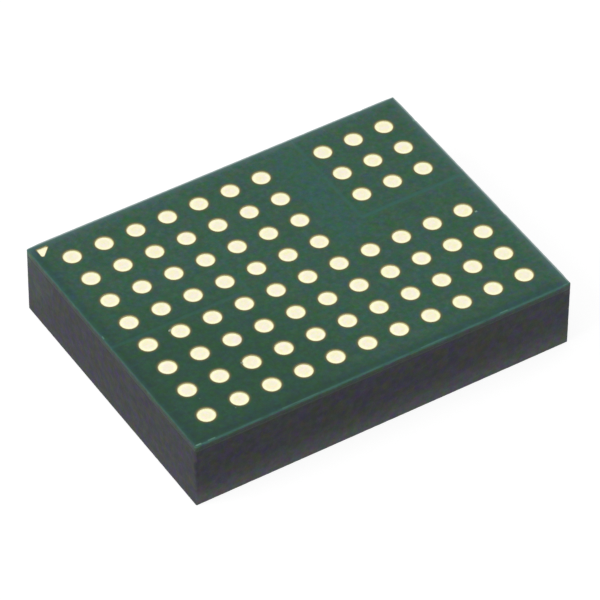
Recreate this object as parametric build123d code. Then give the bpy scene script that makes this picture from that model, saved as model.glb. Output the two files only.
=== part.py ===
from build123d import *
import os

# A step-down power module in a land grid package, lying on its moulded face with its lands
# up. Sizes are in millimetres. The origin is the middle of the moulded face, X runs along
# the long side, Y along the short side and Z up to the lands. The parts inside hang from
# the component side of the substrate, and a depth is measured down from there.

# Package
package_length = 15.0
package_width = 11.25
mould_thickness = 2.5
edge_margin = 0.5

# Substrate
laminate_thickness = 0.22
copper_thickness = 0.025
mask_over_copper = 0.025
copper_pullback = 0.15
copper_gap = 0.13
pad_border = 0.08
via_diameter = 0.25

# Land grid: the counts are columns along X and rows along Y
land_pitch = 1.27
land_columns = 11
land_rows = 8
land_diameter = 0.64
output_columns = 4
output_rows = 4
input_columns = 3
input_rows = 3
control_columns = 4
control_rows = 4
control_pad_width = 0.74
control_pad_clearance = 0.1
pin_mark_inset = 0.26
pin_mark_leg = 0.47
pin_mark_round = 0.05

# The land nearest the front left corner stands off its place in the grid by this much
corner_land_shift_x = -0.067
corner_land_shift_y = -0.077

# Where the pours part, measured from the middle line between two columns or rows of lands
output_split_shift = 0.125
output_split_jog = 0.29
output_jog_length = 0.3
output_split_drop = 0.13
input_split_drop = 0.35

# Soldering
solder_standoff = 0.04
terminal_wall = 0.03

# Inductor
core_length = 5.4
core_width = 5.4
core_plate_thickness = 0.55
core_back_thickness = 0.6
core_leg_thickness = 0.5
core_post_length = 1.8
spacer_thickness = 0.05
strip_width = 0.55
strip_thickness = 0.3
turn_gap = 0.12
layer_gap = 0.05
winding_clearance = 0.08
tail_width = 1.2
tail_foot = 0.45
tail_clearance = 0.05

# Capacitors
output_capacitor_count = 4
output_capacitor_length = 2.0
output_capacitor_width = 1.25
output_capacitor_height = 1.25
output_capacitor_terminal = 0.45
input_capacitor_count = 2
input_capacitor_length = 3.2
input_capacitor_width = 1.6
input_capacitor_height = 1.6
input_capacitor_terminal = 0.5
power_chip_gap = 0.4

# Control parts along the front edge
control_capacitor_count = 4
control_resistor_count = 4
control_chip_length = 1.0
control_chip_width = 0.5
control_chip_terminal = 0.25
control_chip_gap = 0.35
control_capacitor_height = 0.5
control_resistor_height = 0.35

# Sense resistor and boost diode
sense_resistor_length = 3.2
sense_resistor_width = 1.6
sense_resistor_height = 0.6
sense_resistor_terminal = 0.5
diode_length = 1.2
diode_width = 0.8
diode_height = 0.45
diode_lead_length = 0.6
diode_lead_width = 0.5
diode_lead_thickness = 0.12

# Dies, clips and bonds
attach_thickness = 0.045
switch_die_length = 2.0
switch_die_width = 1.6
switch_die_thickness = 0.2
clip_width = 1.2
clip_thickness = 0.15
clip_overhang = 0.05
clip_slope = 0.25
clip_foot = 0.4
clip_spacing = 0.2
pour_landing = 0.4
controller_length = 2.4
controller_width = 2.2
controller_thickness = 0.25
bonds_per_side = 4
bond_pitch = 0.5
bond_width = 0.05
bond_thickness = 0.03
bond_inset = 0.12
bond_foot = 0.15
bond_loop = 0.15
bond_crest = 0.1
bond_span = 0.6
finger_length = 0.35
finger_width = 0.2

# Levels of the substrate, from the component side up
component_face = mould_thickness
component_copper_face = component_face + mask_over_copper
laminate_bottom = component_copper_face + copper_thickness
laminate_top = laminate_bottom + laminate_thickness
land_face = laminate_top + copper_thickness
package_top = land_face + mask_over_copper

# Edges of the room for parts inside the mould
room_left = edge_margin - package_length / 2
room_right = package_length / 2 - edge_margin
room_front = edge_margin - package_width / 2
room_back = package_width / 2 - edge_margin

# Places of the parts: the inductor in the front left corner, power capacitors and the sense
# resistor behind it, the input capacitors in the back right corner, the switches between
tail_room = tail_clearance + tail_foot
core_x = room_left + tail_room + core_length / 2
core_y = room_front + core_width / 2
core_right = core_x + core_length / 2 + tail_room
core_behind = core_y + core_width / 2
sense_x = room_left + sense_resistor_length / 2
sense_y = room_back - sense_resistor_width / 2
output_capacitor_y = (core_behind + sense_y - sense_resistor_width / 2) / 2
input_capacitor_step = input_capacitor_width + power_chip_gap
input_capacitor_y = room_back - input_capacitor_length / 2
input_capacitors_left = room_right - input_capacitor_count * input_capacitor_step + power_chip_gap
clip_room = clip_overhang + clip_slope + clip_foot + clip_spacing
switch_x = (core_right + input_capacitors_left - clip_room) / 2
high_side_y = room_back - switch_die_length / 2
low_side_y = high_side_y - switch_die_length - clip_room
diode_x = (sense_x + sense_resistor_length / 2 + switch_x - switch_die_width / 2) / 2
control_row_y = room_front + control_chip_length / 2
controller_x = (core_right + room_right) / 2
controller_y = (room_front + control_chip_length + low_side_y - switch_die_length / 2) / 2

# Depths of the winding inside the core
slot_depth = 2 * winding_clearance + 2 * strip_thickness + layer_gap
slot_width = 2 * winding_clearance + 2 * strip_width + turn_gap
core_post_width = core_width - 2 * core_leg_thickness - 2 * slot_width
slot_start = core_plate_thickness + spacer_thickness
near_layer = slot_start + winding_clearance
far_layer = near_layer + strip_thickness + layer_gap

# The attach layer and the bonds reach up to the copper, through the mask
copper_depth = -mask_over_copper
attach_depth = copper_depth + attach_thickness


def plate(outline, bottom, top):
    """An outline in the XY plane made into a plate between two heights."""
    return Pos(0, 0, bottom) * extrude(outline, amount=top - bottom)


def hung(x, y, length, width, depth, height):
    """A block centred on x, y that hangs from a depth under the substrate."""
    return Pos(x, y, component_face - depth - height / 2) * Box(length, width, height)


def strap(x, y, turn, route, thickness, width):
    """A bent strip that runs from x, y; route holds its middle line as (run, depth)."""
    heights = [(run, component_face - depth) for run, depth in route]
    upper = [(run, height + thickness / 2) for run, height in heights]
    lower = [(run, height - thickness / 2) for run, height in heights]
    side = Plane.XZ * Polygon(*lower, *reversed(upper))
    return Pos(x, y) * Rot(0, 0, turn) * extrude(side, amount=width / 2, both=True)


# Land grid


def bank_of(column, row):
    """The bank that a place of the grid belongs to, or None where it has no land."""
    from_right = land_columns - 1 - column
    from_back = land_rows - 1 - row
    if column < output_columns and from_back < output_rows:
        return "output"
    if from_right < input_columns and from_back < input_rows:
        return "input"
    if from_right < control_columns:
        return "control" if row < control_rows else None
    return "ground"


def column_x(column):
    return (column - (land_columns - 1) / 2) * land_pitch


def row_y(row):
    return (row - (land_rows - 1) / 2) * land_pitch


def lands(*banks):
    """The middles of all lands in the banks."""
    grid = [(column, row) for column in range(land_columns) for row in range(land_rows)]
    return [(column_x(column), row_y(row)) for column, row in grid if bank_of(column, row) in banks]


def squares(centres, width):
    return [Pos(x, y) * Rectangle(width, width) for x, y in centres]


# Board side of the substrate


def output_zone(inset):
    """The corner of the board over the output pour, its inner sides moved in by inset."""
    behind = column_x(output_columns - 0.5) + output_split_shift - inset
    ahead = behind - output_split_jog
    front = row_y(land_rows - output_rows - 0.5) - output_split_drop + inset
    jog = row_y(land_rows - output_rows + 0.75)
    left = -package_length / 2
    back = package_width / 2
    return Polygon(
        (left, front),
        (ahead, front),
        (ahead, jog),
        (behind, jog + output_jog_length),
        (behind, back),
        (left, back),
    )


def input_zone(inset):
    """The corner of the board over the input pour, its inner sides moved in by inset."""
    left = column_x(land_columns - input_columns - 0.5) + inset
    front = row_y(land_rows - input_rows - 0.5) - input_split_drop + inset
    length = package_length / 2 - left
    width = package_width / 2 - front
    return Pos(left + length / 2, front + width / 2) * Rectangle(length, width)


def pin_one_triangle():
    """The three-cornered opening beside the first land."""
    left = pin_mark_inset - package_length / 2
    back = package_width / 2 - pin_mark_inset
    triangle = Polygon((left, back - pin_mark_leg), (left + pin_mark_leg, back), (left, back))
    return fillet(triangle.vertices(), pin_mark_round)


def land_openings():
    """The round openings of the mask, one over each land."""
    corner = (column_x(0), row_y(0))
    centres = [centre for centre in lands("output", "input", "control", "ground") if centre != corner]
    centres.append((corner[0] + corner_land_shift_x, corner[1] + corner_land_shift_y))
    return [Pos(x, y) * Circle(land_diameter / 2) for x, y in centres]


def land_copper():
    """The outlines of the pours and pads under the lands."""
    inside = Rectangle(package_length - 2 * copper_pullback, package_width - 2 * copper_pullback)
    half_gap = copper_gap / 2
    control = lands("control")
    clearance = squares(control, control_pad_width + 2 * control_pad_clearance)
    ground = inside - output_zone(-half_gap) - input_zone(-half_gap) - clearance
    return {
        "output_land_copper": inside & output_zone(half_gap),
        "input_land_copper": inside & input_zone(half_gap),
        "ground_land_copper": ground,
        "control_land_copper": Sketch() + squares(control, control_pad_width),
    }


def board_side_mask(copper):
    """The mask: it fills between the copper, and its openings lay the lands bare."""
    board = Rectangle(package_length, package_width)
    between = board - list(copper.values())
    over = board - land_openings() - pin_one_triangle()
    return plate(between, laminate_top, land_face) + plate(over, land_face, package_top)


# Chip parts


def chip(name, x, y, turn, length, width, height, terminal):
    """A chip part with its length along X before it is turned: body, two end caps, two joints."""
    body = hung(0, 0, length - 2 * terminal_wall, width - 2 * terminal_wall,
                solder_standoff + terminal_wall, height - 2 * terminal_wall)
    ends = []
    joints = []
    for side in (-1, 1):
        end_x = side * (length - terminal) / 2
        ends.append(hung(end_x, 0, terminal, width, solder_standoff, height) - body)
        joints.append(hung(end_x, 0, terminal, width, copper_depth, solder_standoff - copper_depth))
    place = Pos(x, y) * Rot(0, 0, turn)
    return {
        name + "_bodies": [place * body],
        name + "_terminals": [place * end for end in ends],
        "solder_joints": [place * joint for joint in joints],
    }


def resistor(name, x, y, turn, length, width, height, terminal):
    """A chip part with the resistive film between its end caps, on the face away from the board."""
    pieces = chip(name, x, y, turn, length, width, height, terminal)
    film = hung(0, 0, length - 2 * terminal, width - 2 * terminal_wall,
                solder_standoff + height - terminal_wall, terminal_wall)
    pieces[name + "_films"] = [Pos(x, y) * Rot(0, 0, turn) * film]
    return pieces


def output_capacitors():
    step = output_capacitor_width + power_chip_gap
    first = room_left + output_capacitor_width / 2
    return [
        chip("output_capacitor", first + number * step, output_capacitor_y, 90,
             output_capacitor_length, output_capacitor_width, output_capacitor_height,
             output_capacitor_terminal)
        for number in range(output_capacitor_count)
    ]


def input_capacitors():
    first = input_capacitors_left + input_capacitor_width / 2
    return [
        chip("input_capacitor", first + number * input_capacitor_step, input_capacitor_y, 90,
             input_capacitor_length, input_capacitor_width, input_capacitor_height,
             input_capacitor_terminal)
        for number in range(input_capacitor_count)
    ]


def control_chips():
    """The row of small parts along the front edge, capacitors on the right and resistors on the left."""
    step = control_chip_width + control_chip_gap
    last = room_right - control_chip_width / 2
    groups = []
    for number in range(control_capacitor_count + control_resistor_count):
        x = last - number * step
        if number < control_capacitor_count:
            groups.append(chip("control_capacitor", x, control_row_y, 90, control_chip_length,
                               control_chip_width, control_capacitor_height, control_chip_terminal))
        else:
            groups.append(resistor("control_resistor", x, control_row_y, 90, control_chip_length,
                                   control_chip_width, control_resistor_height, control_chip_terminal))
    return groups


def sense_resistor():
    return resistor("sense_resistor", sense_x, sense_y, 0, sense_resistor_length, sense_resistor_width,
                    sense_resistor_height, sense_resistor_terminal)


def boost_diode():
    """A small moulded diode that sits on its two flat leads."""
    body_depth = solder_standoff + diode_lead_thickness
    joint_height = solder_standoff - copper_depth
    lead_places = [diode_x - diode_length / 2, diode_x + diode_length / 2]
    leads = [hung(x, sense_y, diode_lead_length, diode_lead_width, solder_standoff, diode_lead_thickness)
             for x in lead_places]
    joints = [hung(x, sense_y, diode_lead_length, diode_lead_width, copper_depth, joint_height)
              for x in lead_places]
    return {
        "boost_diode_body": [hung(diode_x, sense_y, diode_length, diode_width, body_depth, diode_height)],
        "boost_diode_leads": leads,
        "solder_joints": joints,
    }


# Inductor


def spiral_corner(number, sense):
    """A corner of the square spiral round the post, counted outwards from its inner end."""
    pitch = strip_width + turn_gap
    from_post = winding_clearance + strip_width / 2
    half_x = core_post_length / 2 + from_post + (number // 4) * pitch
    half_y = core_post_width / 2 + from_post + ((number + 1) // 4) * pitch
    side_x = 1 if number % 4 < 2 else -1
    side_y = 1 if number % 4 in (1, 2) else -1
    return (side_x * half_x, sense * side_y * half_y)


def spiral_layer(corner_count, sense, depth):
    """One layer of the winding: straight legs of strip from its inner end to its outer end."""
    corners = [spiral_corner(number, sense) for number in range(1, corner_count + 1)]
    points = [(corners[0][0], 0), *corners, (corners[-1][0], 0)]
    layer = Part()
    for (start_x, start_y), (end_x, end_y) in zip(points, points[1:]):
        layer += hung(core_x + (start_x + end_x) / 2, core_y + (start_y + end_y) / 2,
                      abs(end_x - start_x) + strip_width, abs(end_y - start_y) + strip_width,
                      depth, strip_thickness)
    return layer


def tail(side, leg_x, depth):
    """A tail of the winding: out past the core, down its end and along the board as a foot."""
    core_end = core_length / 2 + tail_clearance
    reach = core_end + strip_thickness - leg_x
    lead_out = hung(core_x + side * (leg_x + reach / 2), core_y, reach, tail_width,
                    depth, strip_thickness)
    drop = hung(core_x + side * (core_end + strip_thickness / 2), core_y, strip_thickness, tail_width,
                solder_standoff, depth + strip_thickness - solder_standoff)
    foot = hung(core_x + side * (core_end + tail_foot / 2), core_y, tail_foot, tail_width,
                solder_standoff, strip_thickness)
    return lead_out + drop + foot


def tail_joint(side):
    foot_x = core_x + side * (core_length / 2 + tail_clearance + tail_foot / 2)
    return hung(foot_x, core_y, tail_foot, tail_width, copper_depth, solder_standoff - copper_depth)


def winding():
    """A flat strip wound in two layers, so that both its ends come out at the outside."""
    inner_x = spiral_corner(1, 1)[0]
    outer_x = spiral_corner(4, 1)[0]
    riser = hung(core_x + inner_x, core_y, strip_width, strip_width,
                 near_layer + strip_thickness, layer_gap)
    near = spiral_layer(4, 1, near_layer) + tail(1, outer_x, near_layer)
    far = spiral_layer(6, -1, far_layer) + tail(-1, outer_x, far_layer)
    return near + riser + far


def inductor_base():
    """The ferrite half that holds the winding: a back, two legs and a post."""
    back = hung(core_x, core_y, core_length, core_width, slot_start + slot_depth, core_back_thickness)
    post = hung(core_x, core_y, core_post_length, core_post_width, slot_start, slot_depth)
    leg_y = (core_width - core_leg_thickness) / 2
    legs = [hung(core_x, core_y + side * leg_y, core_length, core_leg_thickness, slot_start, slot_depth)
            for side in (-1, 1)]
    return back + post + legs


def inductor():
    core_outline = (core_x, core_y, core_length, core_width)
    return {
        "inductor_plate": [hung(*core_outline, 0, core_plate_thickness)],
        "inductor_spacer": [hung(*core_outline, core_plate_thickness, spacer_thickness)],
        "inductor_base": [inductor_base()],
        "inductor_winding": [winding()],
        "solder_joints": [tail_joint(-1), tail_joint(1)],
    }


# Dies


def switch(name, x, y, turn, edge):
    """A switch die face down on the board, with a clip from its far face to the copper beside it."""
    die_face = attach_depth + switch_die_thickness
    on_die = die_face + clip_thickness / 2
    on_joint = solder_standoff + clip_thickness / 2
    bend = edge + clip_overhang
    toe = bend + clip_slope + clip_foot
    route = [(-edge / 2, on_die), (bend, on_die), (bend + clip_slope, on_joint), (toe, on_joint)]
    place = Pos(x, y) * Rot(0, 0, turn)
    die = (x, y, switch_die_width, switch_die_length)
    return {
        name + "_die": [hung(*die, attach_depth, switch_die_thickness)],
        "die_attach": [hung(*die, copper_depth, attach_thickness)],
        name + "_clip": [strap(x, y, turn, route, clip_thickness, clip_width)],
        "solder_joints": [place * hung(toe - clip_foot / 2, 0, clip_foot, clip_width,
                                       copper_depth, solder_standoff - copper_depth)],
    }


def bond_places():
    """Start, turn and row of each bond, on the two sides of the controller."""
    first = -(bonds_per_side - 1) * bond_pitch / 2
    offsets = [first + number * bond_pitch for number in range(bonds_per_side)]
    return [(controller_y + offset, turn) for turn in (0, 180) for offset in offsets]


def controller():
    """The controller die with its bond ribbons, which end on fingers of the board's copper."""
    die_face = attach_depth + controller_thickness
    edge = controller_length / 2
    on_die = die_face + bond_thickness / 2
    on_finger = copper_depth + bond_thickness / 2
    bend = edge - bond_inset
    landing = edge + bond_span
    route = [(bend - bond_foot, on_die), (bend, on_die), (edge + bond_crest, die_face + bond_loop),
             (landing, on_finger), (landing + bond_foot, on_finger)]
    die = (controller_x, controller_y, controller_length, controller_width)
    return {
        "controller_die": [hung(*die, attach_depth, controller_thickness)],
        "die_attach": [hung(*die, copper_depth, attach_thickness)],
        "bond_ribbons": [strap(controller_x, y, turn, route, bond_thickness, bond_width)
                         for y, turn in bond_places()],
    }


def finger_windows():
    """The openings of the mask over the bond fingers, which the mould fills round the ribbons."""
    middle = controller_length / 2 + bond_span + bond_foot / 2
    window = hung(middle, 0, finger_length, finger_width, copper_depth, mask_over_copper)
    return [Pos(controller_x, y) * Rot(0, 0, turn) * window for y, turn in bond_places()]


# Component side of the substrate


def pour(*blocks):
    """The outline of copper that covers all the given blocks, with a border round them."""
    boxes = [block.bounding_box() for block in blocks]
    left = min(box.min.X for box in boxes) - pad_border
    right = max(box.max.X for box in boxes) + pad_border
    front = min(box.min.Y for box in boxes) - pad_border
    back = max(box.max.Y for box in boxes) + pad_border
    return Pos((left + right) / 2, (front + back) / 2) * Rectangle(right - left, back - front)


def by_side(joints, behind):
    """The joints at the back or at the front end of a row of chips."""
    return [sorted(pair, key=lambda joint: joint.center().Y)[behind] for pair in joints]


def power_pours(outputs, inputs, high_side, low_side):
    """The wide copper between the power parts: output, switch node, input and two grounds."""
    output_joints = [group["solder_joints"] for group in outputs]
    input_joints = [group["solder_joints"] for group in inputs]
    output_front = by_side(output_joints, 0)
    input_behind = by_side(input_joints, 1)
    die_edge = hung(switch_x - (switch_die_width - pour_landing) / 2, low_side_y, pour_landing,
                    switch_die_length, 0, 1)
    return {
        "output": [pour(*output_front), pour(tail_joint(-1), output_front[0])],
        "output_return": [pour(*by_side(output_joints, 1))],
        "input": [pour(*high_side["die_attach"], *input_behind)],
        "switch_node": [pour(*low_side["die_attach"], *high_side["solder_joints"]),
                        pour(tail_joint(1), die_edge)],
        "ground": [pour(*low_side["solder_joints"], *by_side(input_joints, 0))],
    }


def through_vias():
    """Copper plugs that join the power pours of the two sides: output, input and ground."""
    output_y = output_capacitor_y - (output_capacitor_length - output_capacitor_terminal) / 2
    output_step = output_capacitor_width + power_chip_gap
    output_x = room_left + output_capacitor_width + power_chip_gap / 2
    input_x = input_capacitors_left + input_capacitor_width + power_chip_gap / 2
    ground_x = switch_x + switch_die_width / 2 + clip_room / 2
    places = [
        (output_x, output_y),
        (output_x + output_step, output_y),
        (input_x, input_capacitor_y),
        (input_x, input_capacitor_y + input_capacitor_width / 2),
        (ground_x, low_side_y),
        (ground_x, low_side_y + clip_width / 3),
    ]
    return [plate(Pos(x, y) * Circle(via_diameter / 2), laminate_bottom, laminate_top) for x, y in places]


# The whole module


def gather(groups):
    """The solids of all groups, node by node."""
    pieces = {}
    for group in groups:
        for name, solids in group.items():
            pieces.setdefault(name, []).extend(solids)
    return pieces


def module():
    outputs = output_capacitors()
    inputs = input_capacitors()
    high_side = switch("high_side_switch", switch_x, high_side_y, -90, switch_die_length / 2)
    low_side = switch("low_side_switch", switch_x, low_side_y, 0, switch_die_width / 2)
    groups = [*outputs, *inputs, *control_chips(), sense_resistor(), boost_diode(), inductor(),
              high_side, low_side, controller()]
    inside = gather(groups)
    windows = finger_windows()

    pours = power_pours(outputs, inputs, high_side, low_side)
    pads = [pour(block) for block in inside["solder_joints"] + inside["die_attach"] + windows]
    copper = Sketch() + [piece for net in pours.values() for piece in net] + pads
    component_copper = plate(copper, component_copper_face, laminate_bottom)
    board = Rectangle(package_length, package_width)
    component_mask = plate(board, component_face, laminate_bottom) - component_copper
    component_mask -= inside["solder_joints"] + inside["die_attach"] + windows

    mould = plate(board, 0, component_face) + windows
    for solids in inside.values():
        mould -= solids

    board_copper = land_copper()
    vias = through_vias()
    pieces = dict(inside)
    pieces["mould_cap"] = [mould]
    pieces["component_side_mask"] = [component_mask]
    pieces["component_side_copper"] = [component_copper]
    pieces["through_vias"] = vias
    pieces["laminate"] = [plate(board, laminate_bottom, laminate_top) - vias]
    for name, outline in board_copper.items():
        pieces[name] = [plate(outline, laminate_top, land_face)]
    pieces["board_side_mask"] = [board_side_mask(board_copper)]
    return pieces


os.makedirs("parts", exist_ok=True)
for name, solids in module().items():
    shape = solids[0] if len(solids) == 1 else Compound(children=solids)
    export_step(shape, f"parts/{name}.step")
    print(name, len(shape.solids()))
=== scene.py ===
import math

import bmesh
import bpy
from bpy.props import FloatProperty, FloatVectorProperty, IntProperty, PointerProperty
from mathutils import Color, Euler, Matrix, Vector, noise


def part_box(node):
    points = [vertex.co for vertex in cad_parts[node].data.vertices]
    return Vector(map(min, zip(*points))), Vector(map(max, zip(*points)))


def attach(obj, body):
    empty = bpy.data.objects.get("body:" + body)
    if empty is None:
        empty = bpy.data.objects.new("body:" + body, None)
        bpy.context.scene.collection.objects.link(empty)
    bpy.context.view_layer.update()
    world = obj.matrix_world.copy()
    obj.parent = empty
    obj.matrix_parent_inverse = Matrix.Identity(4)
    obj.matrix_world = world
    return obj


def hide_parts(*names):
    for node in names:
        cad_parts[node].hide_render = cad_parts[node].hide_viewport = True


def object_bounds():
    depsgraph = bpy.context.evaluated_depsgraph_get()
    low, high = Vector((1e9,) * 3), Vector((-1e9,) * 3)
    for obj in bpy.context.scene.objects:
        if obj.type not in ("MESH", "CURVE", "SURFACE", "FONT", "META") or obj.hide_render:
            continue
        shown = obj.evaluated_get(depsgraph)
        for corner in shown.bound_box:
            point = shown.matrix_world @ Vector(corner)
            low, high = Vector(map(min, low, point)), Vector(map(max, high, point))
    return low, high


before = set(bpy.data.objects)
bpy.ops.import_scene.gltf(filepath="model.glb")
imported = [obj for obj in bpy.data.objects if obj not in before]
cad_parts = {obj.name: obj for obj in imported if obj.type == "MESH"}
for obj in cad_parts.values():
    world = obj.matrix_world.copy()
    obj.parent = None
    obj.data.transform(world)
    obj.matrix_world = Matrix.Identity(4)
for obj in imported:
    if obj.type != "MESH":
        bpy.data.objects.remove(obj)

bl_info = {
    "name": "Land grid power module",
    "version": (1, 0, 0),
    "blender": (4, 5, 0),
    "location": "3D View > Sidebar > Power module",
    "description": "Builds the visible surfaces of a moulded land grid power module and its studio stage",
    "category": "Object",
}

MM = 0.001
cad_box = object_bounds()
package_high = cad_box[1]
mask_low, mask_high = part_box("board_side_mask")
laminate_low, laminate_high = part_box("laminate")
land_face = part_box("output_land_copper")[1].z
half_length = package_high.x / MM
half_width = package_high.y / MM

LAND_PITCH = 1.27
# Patterns on the flat face are squeezed by this much along z, where mask and lands then lie at these levels.
SQUEEZE = 0.2
MASK_LEVEL = 0.56
LAND_LEVEL = 0.559
# Half the height of a pattern that goes through the whole body, and how far a border is moved to keep
# its other two edges off the body.
THROUGH = 10.0
BEYOND = 5.0
# Where a patch of mottling starts to show in the noise, and where it shows in full.
PATCH_EDGE = (0.46, 0.58)
# Size of the faces beside an edge of the sawn body.
EDGE_STEP = 0.055 * MM
# Even wear of the mask's sawn edge, the bites in it, and the wear of the body's edges, in mm.
RIM_WEAR = 0.002
RIM_BITES = 0.010
EDGE_WEAR = 0.004
# The mask's lower outline lies this far inside the sawn one, and its relief dies out over this border, in mm.
FOOT_INSET = 0.15
RELIEF_BORDER = 0.9
# Radius round a land within which the mask isn't stretched, the one round the corner land within which it
# moves along, and the way over which that fades out, in mm.
STILL_RADIUS = 0.42
MOVED_RADIUS = 0.63
MOVED_FADE = 0.19
# How far beyond a strip between two pours the mask starts to sink, and the way down, in mm.
GAP_REACH = 0.09
GAP_SLOPE = 0.15
# Distances within which points are one, and within which a point lies in a plane of a CAD solid.
SAME = 1e-7
WELD = 2e-7
# How the three channels of the speckle hang together.
CHANNEL_SHARES = ((1.0, 0.0, 0.0), (-0.20, 0.97, 0.0), (0.45, -0.20, 0.87))

# Strips where the copper pours part below the mask: middle and half size in mm, and how much shows.
COPPER_GAPS = (
    ((-4.75, -0.13), (2.75, 0.065), 0.36),
    ((-2.07, 0.70), (0.065, 0.89), 0.25),
    ((-1.925, 1.65), (0.21, 0.065), 0.25),
    ((-1.78, 3.60), (0.065, 1.95), 0.22),
    ((3.175, 3.22), (0.065, 2.30), 0.50),
    ((5.30, 0.92), (2.13, 0.075), 0.66),
)
# Corners of the pin-one mark in mm, and the radius that rounds them.
PIN_MARK = ((-7.240, 5.373), (-6.745, 5.373), (-7.240, 4.878))
PIN_MARK_ROUND = 0.060
# The corner land that stands off its place in the grid, and its shift, in mm.
CORNER_LAND = (-6.35, -4.445)
CORNER_LAND_SHIFT = (-0.067, -0.077)
# Chips in the sawn edge of the mask: place along x and y, reach and depth, in mm.
MASK_CHIPS = (
    (7.50, -1.40, 0.16, 0.05),
    (7.50, 4.18, 0.10, 0.02),
    (-7.50, 0.46, 0.16, 0.03),
    (4.75, -5.625, 0.16, 0.02),
    (-6.90, -5.625, 0.16, 0.02),
    (-7.50, -5.625, 0.10, 0.010),
    (7.50, -5.625, 0.11, 0.016),
    (-7.50, 5.625, 0.11, 0.014),
    (6.10, 5.625, 0.10, 0.02),
)
# Chips in the moulded body's edges: x, y and z, reach and depth, in mm.
MOULD_CHIPS = (
    (-7.50, -5.625, 1.93, 0.14, 0.055),
    (-7.50, -5.625, 1.70, 0.09, 0.030),
    (7.50, 5.625, 0.70, 0.14, 0.050),
    (0.90, 5.625, 0.00, 0.12, 0.035),
    (7.50, 1.30, 0.00, 0.13, 0.040),
)
# Loose flakes and nicks: x, y and z, length, width and turn, in mm and degrees.
FLAKES = (
    (-5.375, -0.430, 2.8195, 0.135, 0.085, 35.0),
    (-4.124, -3.048, 2.8195, 0.095, 0.055, -32.0),
    (6.700, -0.925, 2.8195, 0.066, 0.044, 25.0),
)
# Pale marks on the mask: the six along the front edge are painted highlights on the sawn rim, some over
# chips; the rest are small pale marks, some at chips and flakes. Middle and half size in mm, and how much
# they show.
PALE_MARKS_AND_HIGHLIGHTS = (
    ((-7.36, -5.580), (0.10, 0.031), 0.56),
    ((-6.86, -5.584), (0.14, 0.026), 0.42),
    ((7.33, -5.598), (0.13, 0.020), 0.50),
    ((4.75, -5.595), (0.15, 0.012), 0.70),
    ((1.90, -5.600), (0.50, 0.008), 0.30),
    ((-3.40, -5.600), (0.70, 0.008), 0.30),
    ((7.425, 4.165), (0.030, 0.045), 0.75),
    ((-7.47, 0.46), (0.012, 0.060), 0.50),
    ((-6.211, -3.755), (0.010, 0.006), 0.50),
    ((-5.410, -4.748), (0.016, 0.008), 0.65),
    ((6.70, -0.93), (0.055, 0.045), 0.36),
)
# Faint smears on the mask: place and radius in mm, and how much they show.
SMEARS = (
    ((-0.75, -4.88), 0.26, 0.075),
    ((-1.98, -4.90), 0.24, 0.055),
    ((-1.66, -5.12), 0.20, 0.060),
    ((-0.03, -5.12), 0.22, 0.050),
    ((1.68, -4.97), 0.28, 0.060),
    ((3.08, -2.46), 0.24, 0.055),
)
# Patches of painted glow high on the sawn sides by the corners, under the mask's rim: place and radius in mm,
# and how much they show.
GLOW_PATCHES = (
    ((-7.50, 5.60, 2.35), 2.20, 0.17),
    ((-7.50, 5.625, 2.70), 0.50, 0.72),
    ((7.50, -5.625, 2.75), 0.50, 0.30),
    ((7.50, -5.60, 2.50), 3.60, 0.06),
)
# Finishes of the parts inside: two close colours, metallic, roughness, size and depth of the grain in mm,
# and the CAD nodes that have it.
INNER_FINISHES = {
    "copper": ((0.74, 0.36, 0.22), (0.62, 0.26, 0.15), 1.0, 0.38, 0.03, 0.0015, (
        "component_side_copper", "through_vias", "inductor_winding", "high_side_switch_clip",
        "low_side_switch_clip")),
    "tin": ((0.62, 0.62, 0.60), (0.52, 0.52, 0.52), 1.0, 0.42, 0.03, 0.002, (
        "output_capacitor_terminals", "input_capacitor_terminals", "control_capacitor_terminals",
        "control_resistor_terminals", "sense_resistor_terminals", "boost_diode_leads")),
    "solder": ((0.52, 0.53, 0.54), (0.42, 0.43, 0.45), 1.0, 0.34, 0.05, 0.003, (
        "solder_joints", "die_attach")),
    "gold_ribbon": ((0.95, 0.70, 0.32), (0.86, 0.60, 0.25), 1.0, 0.30, 0.02, 0.001, ("bond_ribbons",)),
    "ferrite": ((0.055, 0.052, 0.052), (0.075, 0.070, 0.068), 0.0, 0.62, 0.05, 0.006, (
        "inductor_base", "inductor_plate")),
    "spacer_film": ((0.42, 0.20, 0.045), (0.36, 0.17, 0.040), 0.0, 0.40, 0.08, 0.001, ("inductor_spacer",)),
    "silicon": ((0.120, 0.125, 0.145), (0.090, 0.092, 0.110), 0.0, 0.16, 0.20, 0.0004, (
        "controller_die", "high_side_switch_die", "low_side_switch_die")),
    "capacitor_ceramic": ((0.40, 0.25, 0.14), (0.34, 0.21, 0.12), 0.0, 0.50, 0.04, 0.002, (
        "output_capacitor_bodies", "input_capacitor_bodies", "control_capacitor_bodies")),
    "white_ceramic": ((0.74, 0.74, 0.71), (0.66, 0.66, 0.64), 0.0, 0.55, 0.04, 0.002, (
        "control_resistor_bodies", "sense_resistor_bodies")),
    "resistive_film": ((0.020, 0.022, 0.026), (0.035, 0.030, 0.030), 0.0, 0.35, 0.04, 0.002, (
        "control_resistor_films", "sense_resistor_films")),
}


def a_length(name, description, millimetres):
    return FloatProperty(name=name, description=description, default=millimetres * MM, unit="LENGTH")


def an_angle(name, description, degrees):
    return FloatProperty(name=name, description=description, default=math.radians(degrees),
                         subtype="ANGLE", unit="ROTATION")


def a_count(name, description, default, **limits):
    return IntProperty(name=name, description=description, default=default, **limits)


def a_colour(name, description, *default):
    return FloatVectorProperty(name=name, description=description, subtype="COLOR", default=default,
                               min=0.0, max=1.0)


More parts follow.
